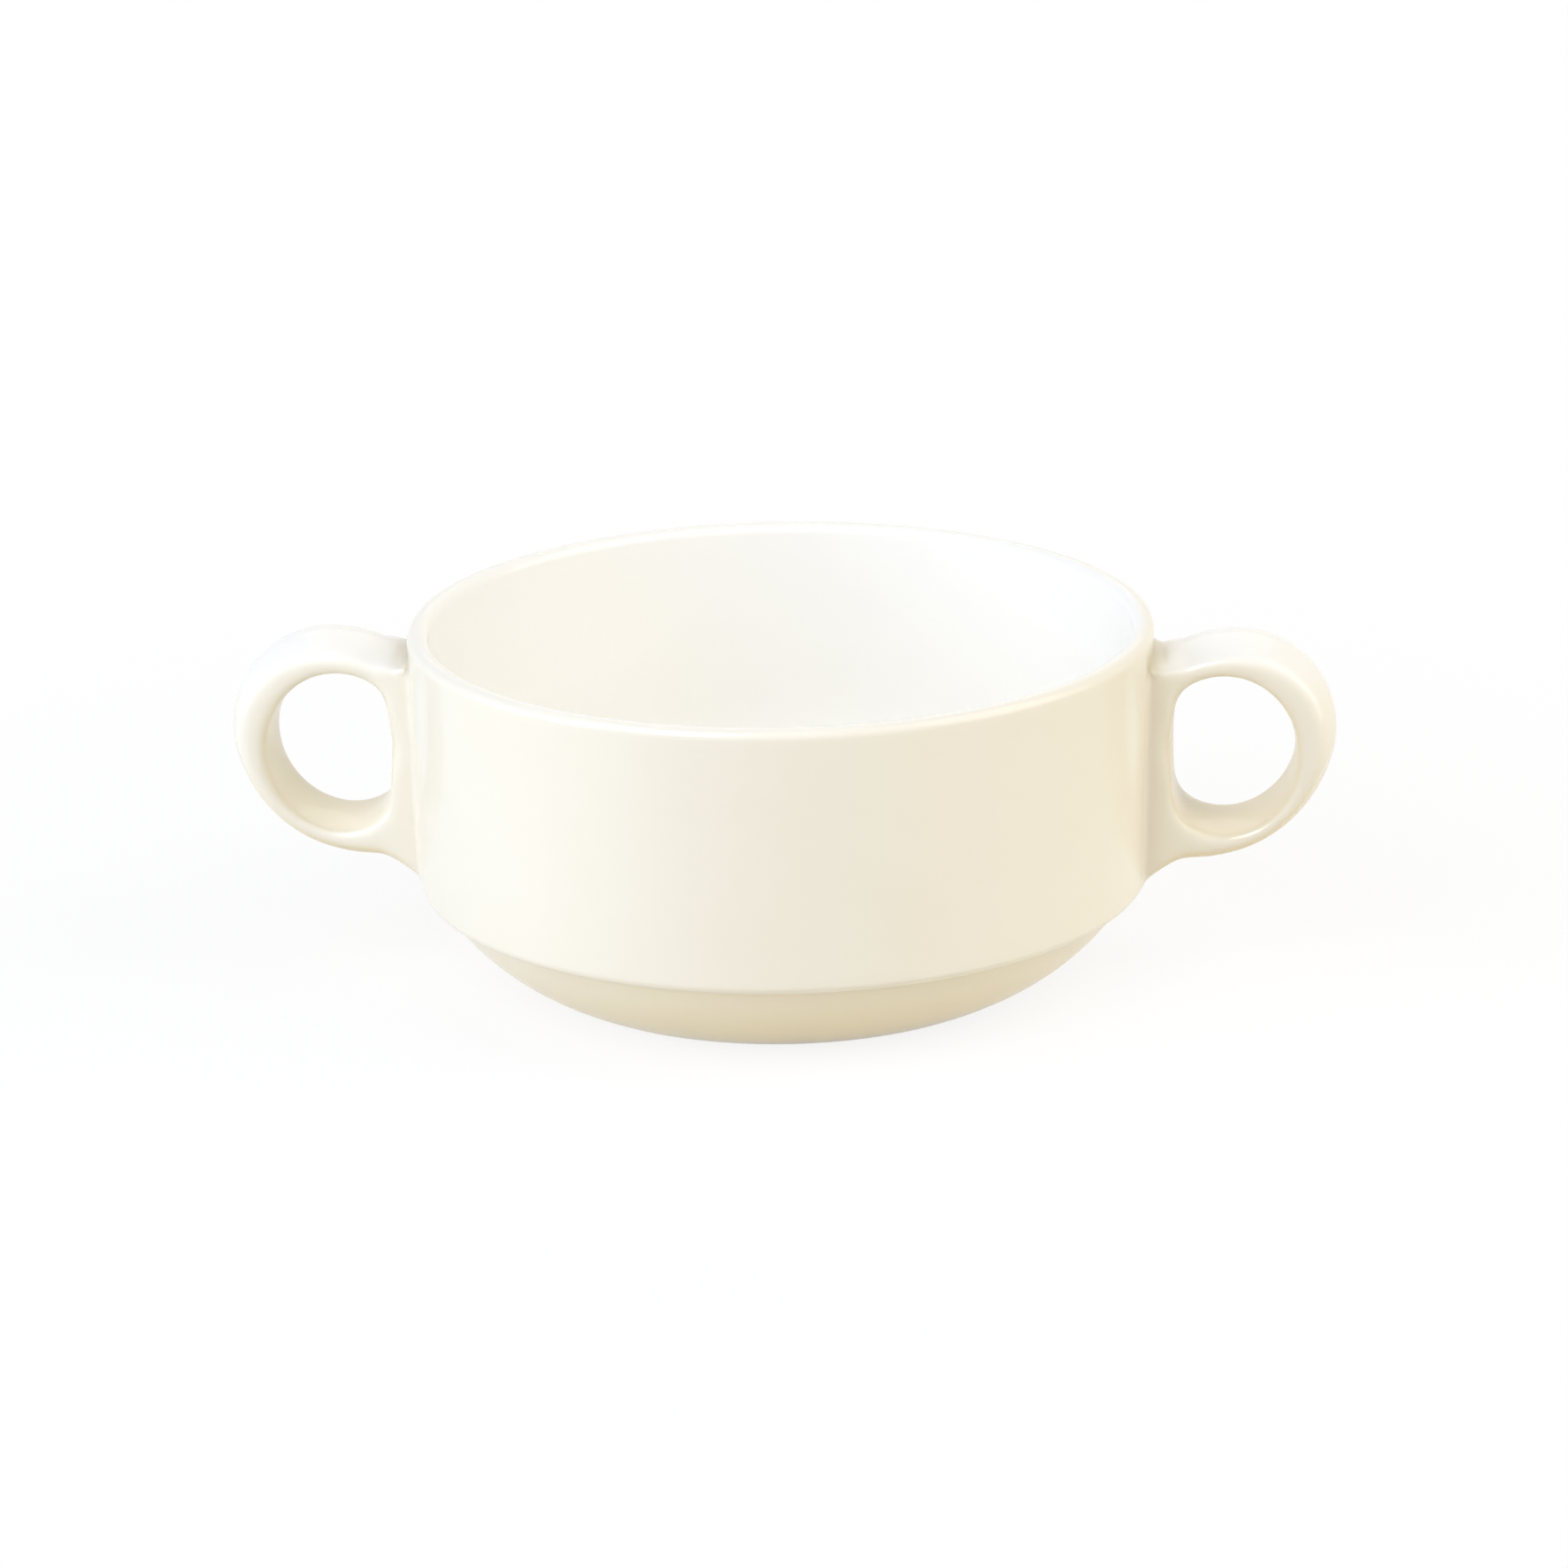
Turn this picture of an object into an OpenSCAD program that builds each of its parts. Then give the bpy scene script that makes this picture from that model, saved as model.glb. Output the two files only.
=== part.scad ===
// Two-handled stacking bouillon cup, cast in one piece of porcelain and glazed.
// Lengths are in millimetres. The origin is the centre of the base ring, on the table.
// The handles lie along X, and Z points up.

/* [Body] */
// Outer diameter across the rim
rim_d = 105; // [94:1:120]
// Height from the table to the top of the rim
cup_h = 50.7; // [46:0.1:60]
// Thickness of the wall at the rounded lip
lip_t = 2.9; // [2.4:0.1:3.6]
// Lean of the outer wall, narrower towards the foot, in degrees
wall_lean = 1.3; // [0.5:0.1:2.5]
// Lean of the inner wall, in degrees
inside_lean = 2.0; // [1:0.1:3]

/* [Stacking foot] */
// Height of the ledge that rests on the rim of the cup below
ledge_z = 13; // [11:0.1:15]
// Rounding of the lower edge of the wall, above the ledge
ledge_edge_r = 1.4; // [0.8:0.1:2]
// Play between the foot and the inside of the rim of the cup below
nest_gap = 0.8; // [0.4:0.1:2]
// Radius of the curve from the ledge down to the base ring
foot_curve_r = 32; // [28:0.5:40]
// Outer diameter of the base ring
base_d = 70; // [66:0.5:74]
// Rounding of the outer edge of the base ring
base_edge_r = 1.2; // [0.6:0.1:1.6]
// Width of the base ring that stands on the table
ring_w = 2.4; // [1.6:0.1:4]
// Depth of the recess inside the base ring
recess_h = 1.6; // [1:0.1:2.4]
// Slope of the inner side of the base ring, from the vertical, in degrees
ring_slope = 40; // [20:1:60]

/* [Inside] */
// Thickness of the floor above the recess
floor_t = 3.8; // [3:0.1:5]
// Radius of the curve from the inner wall to the floor
inside_curve_r = 20; // [16:0.5:24]

/* [Handles] */
// Width of the strap
strap_w = 15.6; // [12:0.1:18]
// Reach of the handle beyond the rim
handle_reach = 25.7; // [23:0.1:28]
// Drop from the rim to the top of the handle
handle_drop = 1.6; // [1.4:0.1:3]
// Radius of the handle's outline from its top in to the wall
shoulder_r = 20; // [17:0.1:24]
// Radius of the handle's outline from its top outwards
crest_r = 13.8; // [13:0.1:15]
// Radius of the handle's outline below its widest point
belly_r = 20.4; // [18:0.1:22]
// Angle below the horizontal at which the upper arc meets the lower arc
belly_start = 15; // [5:1:25]
// Height above the ledge at which the handle's lower joint runs out
joint_gap = 0.8; // [0.5:0.1:1.5]
// Radius of the concave curve above the top joint
notch_r = 1.2; // [0.8:0.1:1.8]
// Radius of the concave curves beside the joint
root_r = 2; // [1:0.1:2.4]
// Thickness of the strap at its top
strap_top_t = 5.1; // [4:0.1:6]
// Thickness of the strap at its outer side
strap_side_t = 5.8; // [4:0.1:7]
// Thickness of the strap at its bottom
strap_bottom_t = 5.3; // [4:0.1:6]
// Thickness of the handle's leg that lies on the wall
leg_t = 3.2; // [2.5:0.1:4.5]
// Sharpness of the corners between the leg and the finger hole
hole_corner = 7; // [4:0.5:12]
// Swell of the strap's outer face across its width
crown = 1.3; // [0:0.1:1.8]
// Swell of the strap's inner face across its width
inner_crown = 0.4; // [0:0.1:0.8]
// Rounding of the strap's outer edges
outer_edge_r = 1.5; // [0.6:0.1:2]
// Rounding of the strap's inner edges
inner_edge_r = 1.2; // [0.6:0.1:1.8]

/* [Hidden] */
ivory = [0.96, 0.94, 0.87];
eps = 0.01;

// Body
rim_r = rim_d / 2;
lip_r = lip_t / 2;
lip_z = cup_h - lip_r;
base_r = base_d / 2;
floor_z = recess_h + floor_t;

// Outer radius of the wall and radius of the inside, at height z
function wall_r(z) = rim_r - lip_r + lip_r / cos(wall_lean) - (lip_z - z) * tan(wall_lean);
function inside_r(z) = rim_r - lip_r - lip_r / cos(inside_lean) - (lip_z - z) * tan(inside_lean);

// Centre of a circle of radius r that rises to the right through points a and b, a the lower one
function arc_centre(a, b, r) =
    let (
        mid = (a + b) / 2,
        run = b - a,
        half = norm(run) / 2,
        rise = sqrt(r * r - half * half)
    )
    mid + rise * [-run[1], run[0]] / norm(run);

// The foot's curve passes inside the rim below at nest_depth under the ledge
nest_depth = lip_r;
foot_top = [rim_r - lip_t - nest_gap, ledge_z - nest_depth];
foot_centre = arc_centre([base_r, 0], foot_top, foot_curve_r);

// Centres of the roundings of the body's section
ledge_edge_c = [wall_r(ledge_z + ledge_edge_r) - ledge_edge_r / cos(wall_lean), ledge_z + ledge_edge_r];
inside_curve_z = floor_z + inside_curve_r;
inside_curve_c = [inside_r(inside_curve_z) - inside_curve_r / cos(inside_lean), inside_curve_z];
base_edge_c = [
    foot_centre[0] + sqrt(pow(foot_curve_r - base_edge_r, 2) - pow(foot_centre[1] - base_edge_r, 2)),
    base_edge_r
];

// Outer radius of the body above the ledge, with the rounding of the wall's lower edge
function body_r(z) =
    let (below = ledge_edge_c[1] - z)
    below <= 0 ? wall_r(z)
    : ledge_edge_c[0] + sqrt(max(ledge_edge_r * ledge_edge_r - below * below, 0));

// Handle: its outline is the shoulder arc, the crest arc and the belly arc
crest_c = [rim_r + handle_reach - crest_r, cup_h - handle_drop - crest_r];
shoulder_c = crest_c + [0, crest_r - shoulder_r];
belly_c = crest_c - (belly_r - crest_r) * [cos(belly_start), -sin(belly_start)];
belly_z = belly_c[1] - belly_r;

// Depth to which the handle is sunk into the wall
bury = 0.3 * lip_t;

// The notch is a groove between the shoulder and the wall, which it meets at notch_stop from the vertical
notch_stop = 30;
notch_x = wall_r(shoulder_c[1] + shoulder_r) + notch_r * cos(notch_stop);
notch_c = [notch_x, shoulder_c[1] + sqrt(pow(shoulder_r + notch_r, 2) - pow(shoulder_c[0] - notch_x, 2))];
notch_dir = atan2(notch_c[1] - shoulder_c[1], notch_c[0] - shoulder_c[0]);
notch_end = notch_c - notch_r * [cos(notch_stop), sin(notch_stop)];
notch_tip = notch_end + bury / tan(notch_stop) * [-tan(notch_stop), 1];

// The flare leaves the belly smoothly and sinks into the rounded edge above the ledge
flare_stop = 48;
flare_z = ledge_z + joint_gap;
flare_sink = 0.3;
flare_end = [body_r(flare_z) - flare_sink, flare_z];
flare_out = [cos(flare_stop), -sin(flare_stop)];
flare_run = flare_end - belly_c;
flare_r = (flare_run * flare_run - belly_r * belly_r) / (2 * (belly_r - flare_run * flare_out));
flare_c = flare_end + flare_r * flare_out;
flare_dir = atan2(flare_c[1] - belly_c[1], flare_c[0] - belly_c[0]);

// Finger hole
hole_left = wall_r(cup_h / 2) + leg_t;
hole_right = rim_r + handle_reach - strap_side_t;
hole_top = cup_h - handle_drop - strap_top_t;
hole_bottom = belly_z + strap_bottom_t;
// Share of the hole's width that lies between the leg and the widest line of its oval
hole_share = 0.42;
hole_c = [hole_left + hole_share * (hole_right - hole_left), (hole_top + hole_bottom) / 2];
hole_a = hole_right - hole_c[0];
hole_b = (hole_top - hole_bottom) / 2;

// Steps along each stretch of the handle's outline, and round each edge of the strap
notch_steps = 3;
shoulder_steps = 4;
crest_steps = 11;
belly_steps = 9;
flare_steps = 8;
leg_steps = 8;
edge_steps = 3;
face_steps = 4;
bore_steps = 2;
side_steps = 8;

function arc_points(c, r, from, to, steps) =
    [for (i = [0 : steps]) let (a = from + (to - from) * i / steps) c + r * [cos(a), sin(a)]];

flare_points = arc_points(flare_c, flare_r, 180 + flare_dir, 180 - flare_stop, flare_steps);
notch_points = arc_points(notch_c, notch_r, 180 + notch_stop, 180 + notch_dir, notch_steps);
leg_low = flare_z + bury;

// The handle's outline, from the shoulder round to the belly, then down the flare, up inside the wall
// and down into the notch
free_outline = concat(
    arc_points(shoulder_c, shoulder_r, notch_dir, 90, shoulder_steps),
    [for (i = [1 : crest_steps]) arc_points(crest_c, crest_r, 90, -belly_start, crest_steps)[i]],
    [for (i = [1 : belly_steps]) arc_points(belly_c, belly_r, -belly_start, flare_dir, belly_steps)[i]]
);
joint_outline = concat(
    [for (i = [1 : flare_steps]) flare_points[i]],
    [
        for (i = [0 : leg_steps])
            let (z = leg_low + (notch_tip[1] - leg_low) * (1 - cos(180 * i / leg_steps)) / 2)
            [wall_r(z) - bury, z]
    ],
    [for (i = [0 : notch_steps - 1]) notch_points[i]]
);
joint_steps = len(joint_outline) + 1;

// Direction from the centre of the finger hole to a point, from the crest's start clockwise
function hole_dir(p) = atan2(p[1] - hole_c[1], p[0] - hole_c[0]);
joint_from = hole_dir(free_outline[len(free_outline) - 1]);
joint_to = hole_dir(free_outline[0]) - 360;
// Beside the wall the stations take a mean of that direction and an even share of the turn, and
// towards the notch the even share alone
function joint_dir(i) =
    let (
        a = hole_dir(joint_outline[i - 1]),
        even = joint_from + (joint_to - joint_from) * i / joint_steps,
        weight = (1 - i / joint_steps) / 2
    )
    weight * (a > 0 ? a - 360 : a) + (1 - weight) * even;

// Edge of the finger hole in direction a: an oval, cut short by the leg
function hole_edge(a) =
    let (
        oval = norm([cos(a) / hole_a, sin(a) / hole_b]),
        leg = max(-cos(a), 0) / (hole_c[0] - hole_left)
    )
    hole_c + [cos(a), sin(a)] / pow(pow(oval, hole_corner) + pow(leg, hole_corner), 1 / hole_corner);

// Widening of the handle beside the wall, at distance d from the wall's surface, which it meets
// at root_stop from the surface
root_stop = 30;
root_edge = root_r * (1 - cos(root_stop));
function root_curve(d) = root_r - sqrt(root_r * root_r - pow(root_r - d, 2));
function root_flare(d) =
    let (e = d + root_edge)
    e >= root_r ? 0 : d >= 0 ? root_curve(e) : root_curve(root_edge) - d / tan(root_stop);

// Share of the wall's own curve that the handle takes up at distance d from the wall
bend_reach = handle_reach / 3;
function bend(d) = d <= 0 ? 1 : d >= bend_reach ? 0 : pow(1 - d / bend_reach, 2);

// Section of the strap as [distance from the hole's edge, place across the strap], t thick;
// free is 1 where the strap stands clear of the wall. The roundings share the thickness of the edges
half_w = strap_w / 2;
function section(t, free) =
    let (
        swell = crown * free,
        outer_r = outer_edge_r * max(free, 0.2),
        room = min(0.9 * (t - swell - inner_crown) / (outer_r + inner_edge_r), 1),
        ro = outer_r * room,
        ri = inner_edge_r * room,
        si = inner_crown + ri,
        so = t - swell - ro
    )
    concat(
        [for (i = [0 : bore_steps]) let (u = 2 * i / bore_steps - 1) [inner_crown * u * u, u * (half_w - ri)]],
        [for (i = [1 : edge_steps]) let (a = 90 * i / edge_steps) [si - ri * cos(a), half_w - ri * (1 - sin(a))]],
        [for (i = [1 : side_steps]) [si + (so - si) * i / side_steps, half_w]],
        [for (i = [1 : edge_steps]) let (a = 90 * i / edge_steps) [so + ro * sin(a), half_w - ro * (1 - cos(a))]],
        [for (i = [1 : face_steps]) let (u = 1 - 2 * i / face_steps) [t - swell * u * u, u * (half_w - ro)]],
        [for (i = [1 : edge_steps]) let (a = 90 * i / edge_steps) [so + ro * cos(a), ro * (1 - sin(a)) - half_w]],
        [for (i = [1 : side_steps]) [so + (si - so) * i / side_steps, -half_w]],
        [for (i = [1 : edge_steps - 1]) let (a = 90 * i / edge_steps) [si - ri * sin(a), ri * (1 - cos(a)) - half_w]]
    );

// Clearance from the wall at which the strap takes its full section
free_reach = 2.5 * root_r;

// The section between an edge point of the hole and an outline point, spread sideways beside the wall
// and bent to follow it
function ring(edge, out) =
    let (
        t = norm(out - edge),
        dir = (out - edge) / t,
        free = min(max((out[0] - body_r(out[1]) + bury) / free_reach, 0), 1)
    )
    [
        for (p = section(t, free))
            let (
                x = edge[0] + p[0] * dir[0],
                z = edge[1] + p[0] * dir[1],
                r = body_r(z),
                y = p[1] * (1 + root_flare(x - r) / half_w)
            )
            [x - bend(x - r) * (r - sqrt(r * r - y * y)), y, z]
    ];

function handle_rings() = concat(
    [for (p = free_outline) ring(hole_edge(hole_dir(p)), p)],
    [for (i = [1 : joint_steps - 1]) ring(hole_edge(joint_dir(i)), joint_outline[i - 1])]
);

// Closed ring of sections, each joined to the next, with the triangles mirrored about its middle
module ring_solid(rings, mid_z) {
    n = len(rings);
    m = len(rings[0]);
    points = [for (ring = rings) each ring];
    faces = [
        for (i = [0 : n - 1], j = [0 : m - 1])
            let (
                i2 = (i + 1) % n,
                j2 = (j + 1) % m,
                a = i * m + j,
                b = i2 * m + j,
                c = i2 * m + j2,
                d = i * m + j2,
                mid = (points[a] + points[c]) / 2
            )
            each mid[1] * (mid[2] - mid_z) < 0 ? [[a, b, d], [b, c, d]] : [[a, b, c], [a, c, d]]
    ];
    polyhedron(points, faces);
}

// Half section of the body, solid inside
module outer_section() {
    wall_foot = ledge_edge_c + ledge_edge_r * [cos(wall_lean), -sin(wall_lean)];
    polygon([
        [0, ledge_z], [ledge_edge_c[0], ledge_z], ledge_edge_c, wall_foot,
        [wall_r(lip_z), lip_z], [rim_r - lip_r, lip_z], [0, lip_z]
    ]);
    translate(ledge_edge_c) circle(r = ledge_edge_r, $fn = 32);
    translate([rim_r - lip_r, lip_z]) circle(r = lip_r, $fn = 32);
    intersection() {
        translate(foot_centre) circle(r = foot_curve_r, $fn = 180);
        translate([0, base_edge_r]) square([rim_r, ledge_z - base_edge_r + eps]);
    }
    translate(base_edge_c) circle(r = base_edge_r, $fn = 32);
    square([base_edge_c[0], base_edge_r + eps]);
    square([foot_centre[0], ledge_z]);
}

// Half section of the space inside the cup
module inside_section() {
    wall_tangent = inside_curve_c + inside_curve_r * [cos(inside_lean), -sin(inside_lean)];
    polygon([
        [0, floor_z], [inside_curve_c[0], floor_z], inside_curve_c, wall_tangent,
        [inside_r(lip_z), lip_z], [inside_r(lip_z), cup_h + 1], [0, cup_h + 1]
    ]);
    translate(inside_curve_c) circle(r = inside_curve_r, $fn = 144);
}

// Half section of the recess under the base
module recess_section() {
    foot_in = base_edge_c[0] - ring_w;
    recess_r = foot_in - recess_h * tan(ring_slope);
    polygon([[0, -1], [foot_in, -1], [foot_in, 0], [recess_r, recess_h], [0, recess_h]]);
}

module body_solid() {
    rotate_extrude($fn = 144) outer_section();
}

module hollow() {
    rotate_extrude($fn = 144) inside_section();
}

module handle() {
    ring_solid(handle_rings(), hole_c[1]);
}

module cup() {
    color(ivory)
    difference() {
        union() {
            body_solid();
            handle();
            rotate([0, 0, 180]) handle();
        }
        hollow();
        rotate_extrude($fn = 144) recess_section();
    }
}

cup();
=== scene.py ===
"""Two-handled ivory bouillon cup: the glazed surface, studio floor, lights and camera."""
import math
import bpy
import numpy as np
from mathutils import Matrix, Vector
from mathutils.bvhtree import BVHTree


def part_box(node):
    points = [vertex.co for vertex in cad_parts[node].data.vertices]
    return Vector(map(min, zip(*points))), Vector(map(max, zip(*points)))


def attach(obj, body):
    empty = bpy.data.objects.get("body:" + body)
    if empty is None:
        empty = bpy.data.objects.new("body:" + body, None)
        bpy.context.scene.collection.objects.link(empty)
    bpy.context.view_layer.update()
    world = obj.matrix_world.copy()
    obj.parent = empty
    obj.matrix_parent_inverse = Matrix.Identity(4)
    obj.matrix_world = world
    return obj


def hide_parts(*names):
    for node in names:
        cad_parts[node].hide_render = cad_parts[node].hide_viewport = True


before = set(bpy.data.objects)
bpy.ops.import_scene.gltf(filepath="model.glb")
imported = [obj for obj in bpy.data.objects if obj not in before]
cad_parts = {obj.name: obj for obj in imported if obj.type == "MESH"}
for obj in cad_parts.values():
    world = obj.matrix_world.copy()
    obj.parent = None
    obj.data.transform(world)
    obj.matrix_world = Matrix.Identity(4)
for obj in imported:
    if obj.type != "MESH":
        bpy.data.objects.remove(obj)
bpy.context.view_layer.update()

MM = 0.001
TAU = 2 * math.pi

# ---------------------------------------------------------------- sizes, in millimetres
low, high = (np.array(corner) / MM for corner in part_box("cup"))
RIM_R = (high[1] - low[1]) / 2
CUP_H = high[2] - low[2]
REACH = high[0] - RIM_R
LIP_T = 2.9
WALL_LEAN = math.radians(1.3)
INSIDE_LEAN = math.radians(2.0)
LEDGE_Z = 13.0
LEDGE_EDGE_R = 1.4
NEST_GAP = 0.8
FOOT_CURVE_R = 32.0
BASE_R = 35.0
BASE_EDGE_R = 1.2
RING_W = 2.4
RECESS_H = 1.6
RING_SLOPE = math.radians(40)
FLOOR_T = 3.8
INSIDE_CURVE_R = 20.0

STRAP_W = 15.6
HANDLE_DROP = 1.6
SHOULDER_R = 20.0
CREST_R = 13.8
BELLY_R = 20.4
BELLY_START = math.radians(15)
JOINT_GAP = 0.8
FLARE_SINK = 0.3
FLARE_STOP = math.radians(48)
NOTCH_R = 1.2
NOTCH_STOP = math.radians(30)
ROOT_R = 0.8
ROOT_STOP = math.radians(30)
FREE_REACH = 5.0
STRAP_TOP_T = 5.1
STRAP_SIDE_T = 5.8
STRAP_BOTTOM_T = 5.3
LEG_T = 3.2
# Where across the finger hole it is tallest, and how sharp its corners beside the leg are
HOLE_SHARE = 0.42
HOLE_CORNER = 7
CROWN = 1.3
INNER_CROWN = 0.4
OUTER_EDGE_R = 1.5
INNER_EDGE_R = 1.2
# How far the leg reaches into the wall, and how far out the handle follows the wall's bend
BURY = 0.3 * LIP_T
BEND_REACH = REACH / 3

# How far the glaze rounds off the body's creases, the strap's section and the joints
GLAZE_SOFT = 0.45
EDGE_SOFT = 0.85
GLAZE_BLEND = 0.5
# How far the painted shade reaches from a joint on the handle and on the wall, in the notch, and
# under the ledge
CREASE_SHADE_REACH = 3.6
WALL_CREASE_SHADE_REACH = 1.1
NOTCH_CREASE_SHADE_REACH = 2.2
LEDGE_CREASE_SHADE_REACH = 1.6
# How strong this painted shade is along the joint and under the ledge, where the notch's is 1
JOINT_CREASE_SHADE = 0.14
LEDGE_CREASE_SHADE = 0.2
# How pale the painted light makes the handles' tops, and how deep the painted shade is at the top
# of the foot and in the finger holes
STRAP_LIT_PALE = 0.85
FOOT_SHADE = 0.3
HOLE_SHADE = 0.35
# A point this close to a surface counts as lying on it
ON_SURFACE = 0.3

# Spacing of the mesh: points of the profile, turn from row to row, shortest and longest row
PROFILE_STEP = 0.05
ROW_TURN = 0.13
ROW_LENGTHS = (0.16, 2.4)
# Beside the handles: along the profile and the handle, round the body, and how far round it goes
JOINT_STEP = 0.62
JOINT_TURN = math.radians(0.66)
JOINT_SPAN = math.radians(15)
# Counts: rows of the body from handle to handle, stations of the leg, points of the strap's section
SIDE_ROWS = 78
LEG_STATIONS = 52
SECTION_POINTS = 112


def unit(angle):
    return np.array([math.cos(angle), math.sin(angle)])


def arc_centre(a, b, r):
    """Centre of the circle of radius r through a and b, to the left of the way from a to b."""
    run = b - a
    half = np.linalg.norm(run) / 2
    return (a + b) / 2 + math.sqrt(r * r - half * half) * np.array([-run[1], run[0]]) / (2 * half)


# ---------------------------------------------------------------- body
LIP_R = LIP_T / 2
LIP_Z = CUP_H - LIP_R
FLOOR_Z = RECESS_H + FLOOR_T


def wall_r(z):
    return RIM_R - LIP_R + LIP_R / math.cos(WALL_LEAN) - (LIP_Z - z) * math.tan(WALL_LEAN)


def inside_r(z):
    return RIM_R - LIP_R - LIP_R / math.cos(INSIDE_LEAN) - (LIP_Z - z) * math.tan(INSIDE_LEAN)


lip_c = np.array([RIM_R - LIP_R, LIP_Z])
foot_top = np.array([RIM_R - LIP_T - NEST_GAP, LEDGE_Z - LIP_R])
foot_c = arc_centre(np.array([BASE_R, 0.0]), foot_top, FOOT_CURVE_R)
foot_end_r = foot_c[0] + math.sqrt(FOOT_CURVE_R ** 2 - (LEDGE_Z - foot_c[1]) ** 2)
ledge_edge_c = np.array([
    wall_r(LEDGE_Z + LEDGE_EDGE_R) - LEDGE_EDGE_R / math.cos(WALL_LEAN), LEDGE_Z + LEDGE_EDGE_R
])
inside_z = FLOOR_Z + INSIDE_CURVE_R
inside_c = np.array([inside_r(inside_z) - INSIDE_CURVE_R / math.cos(INSIDE_LEAN), inside_z])
base_edge_c = np.array([
    foot_c[0] + math.sqrt((FOOT_CURVE_R - BASE_EDGE_R) ** 2 - (foot_c[1] - BASE_EDGE_R) ** 2),
    BASE_EDGE_R,
])


def body_r(z):
    """Outer radius above the ledge, with the rounding of the wall's lower edge; z is an array."""
    z = np.asarray(z, float)
    below = np.maximum(ledge_edge_c[1] - z, 0)
    edge = ledge_edge_c[0] + np.sqrt(np.maximum(LEDGE_EDGE_R ** 2 - below ** 2, 0))
    return np.where(below > 0, edge, wall_r(z))


def line(a, b, step=PROFILE_STEP):
    n = max(2, int(np.linalg.norm(np.subtract(b, a)) / step))
    t = np.linspace(0, 1, n)[:, None]
    return np.asarray(a) * (1 - t) + np.asarray(b) * t


def arc(c, r, start, end, step=PROFILE_STEP):
    n = max(4, int(abs(end - start) * r / step))
    a = np.linspace(start, end, n)
    return np.c_[c[0] + r * np.cos(a), c[1] + r * np.sin(a)]


def bell(x):
    return np.exp(-0.5 * x ** 2)


def smoothed(path, kernel):
    """The points of a path that have the kernel's whole reach on both sides, smoothed by it."""
    return np.column_stack([np.convolve(path[:, axis], kernel, "valid") for axis in (0, 1)])


def body_profile():
    """Half section from the middle of the recess, over the lip, to the middle of the floor, as
    dense points with their outward normals. The glaze rounds the creases off."""
    ring_in = base_edge_c[0] - RING_W
    recess_r = ring_in - RECESS_H * math.tan(RING_SLOPE)
    join = math.atan2(*(base_edge_c - foot_c)[::-1])
    ledge_in = math.asin((LEDGE_Z - foot_c[1]) / FOOT_CURVE_R)
    foot_end = foot_c + FOOT_CURVE_R * unit(ledge_in)
    pieces = [
        line([0, RECESS_H], [recess_r, RECESS_H]),
        line([recess_r, RECESS_H], [ring_in, 0]),
        line([ring_in, 0], [base_edge_c[0], 0]),
        arc(base_edge_c, BASE_EDGE_R, -math.pi / 2, join),
        arc(foot_c, FOOT_CURVE_R, join, ledge_in),
        line(foot_end, [ledge_edge_c[0], LEDGE_Z]),
        arc(ledge_edge_c, LEDGE_EDGE_R, -math.pi / 2, -WALL_LEAN),
        line(ledge_edge_c + LEDGE_EDGE_R * unit(-WALL_LEAN), lip_c + LIP_R * unit(-WALL_LEAN)),
        arc(lip_c, LIP_R, -WALL_LEAN, math.pi + INSIDE_LEAN),
        line(
            lip_c + LIP_R * unit(math.pi + INSIDE_LEAN),
            inside_c + INSIDE_CURVE_R * unit(-INSIDE_LEAN),
        ),
        arc(inside_c, INSIDE_CURVE_R, -INSIDE_LEAN, -math.pi / 2),
        line([inside_c[0], FLOOR_Z], [0, FLOOR_Z]),
    ]
    path = np.vstack([p[:-1] for p in pieces] + [pieces[-1][-1:]])
    s = np.r_[0, np.cumsum(np.linalg.norm(np.diff(path, axis=0), axis=1))]
    even = np.arange(0, s[-1], PROFILE_STEP)
    path = np.c_[np.interp(even, s, path[:, 0]), np.interp(even, s, path[:, 1])]
    # Each crease, with how widely the glaze fills it
    creases = (([recess_r, RECESS_H], 1.6), ([ring_in, 0], 0.5), (foot_end, 0.9))
    half = int(3 * max(span for _, span in creases) / PROFILE_STEP)
    for crease, span in creases:
        at = np.argmin(np.linalg.norm(path - crease, axis=1))
        away = np.arange(-half, half + 1) * PROFILE_STEP
        kernel = bell(away / (span * GLAZE_SOFT))
        kernel /= kernel.sum()
        first, last = at - half, at + half + 1
        soft = smoothed(path[first - half:last + half], kernel)
        path[first:last] += bell(away / (span * 1.2))[:, None] * (soft - path[first:last])
    tangent = np.gradient(path, axis=0)
    tangent /= np.linalg.norm(tangent, axis=1)[:, None]
    normal = np.c_[tangent[:, 1], -tangent[:, 0]]
    return path, normal


profile, profile_normal = body_profile()


def profile_rows():
    """Indices into the profile for the rows of the lathed mesh: close together where it curves, and
    on the wall where the handles join."""
    shortest, longest = ROW_LENGTHS
    angle = np.unwrap(np.arctan2(profile_normal[:, 1], profile_normal[:, 0]))
    turn = np.abs(np.gradient(angle)) / PROFILE_STEP
    turn = np.convolve(turn, np.ones(9) / 9, "same")
    step = np.minimum(ROW_TURN / np.maximum(turn, 1e-6), longest)
    outer = profile_normal[:, 0] > 0.6
    joint = outer & (profile[:, 1] > LEDGE_Z - 1) & (profile[:, 1] < LIP_Z)
    step[joint] = np.minimum(step[joint], JOINT_STEP)
    step = np.maximum(step, shortest)
    count = np.r_[0, np.cumsum(PROFILE_STEP / step)]
    rows = np.searchsorted(count, np.linspace(0, count[-1] * 0.99999, int(count[-1]) + 1))
    return np.unique(np.clip(rows, 0, len(profile) - 1))


def lathe_angles():
    """Angles round the body, close together beside the handles."""
    fine = np.arange(-JOINT_SPAN, JOINT_SPAN, JOINT_TURN)
    side = np.linspace(JOINT_SPAN, math.pi - JOINT_SPAN, SIDE_ROWS, endpoint=False)
    return np.concatenate([fine, side, fine + math.pi, side + math.pi])


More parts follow.
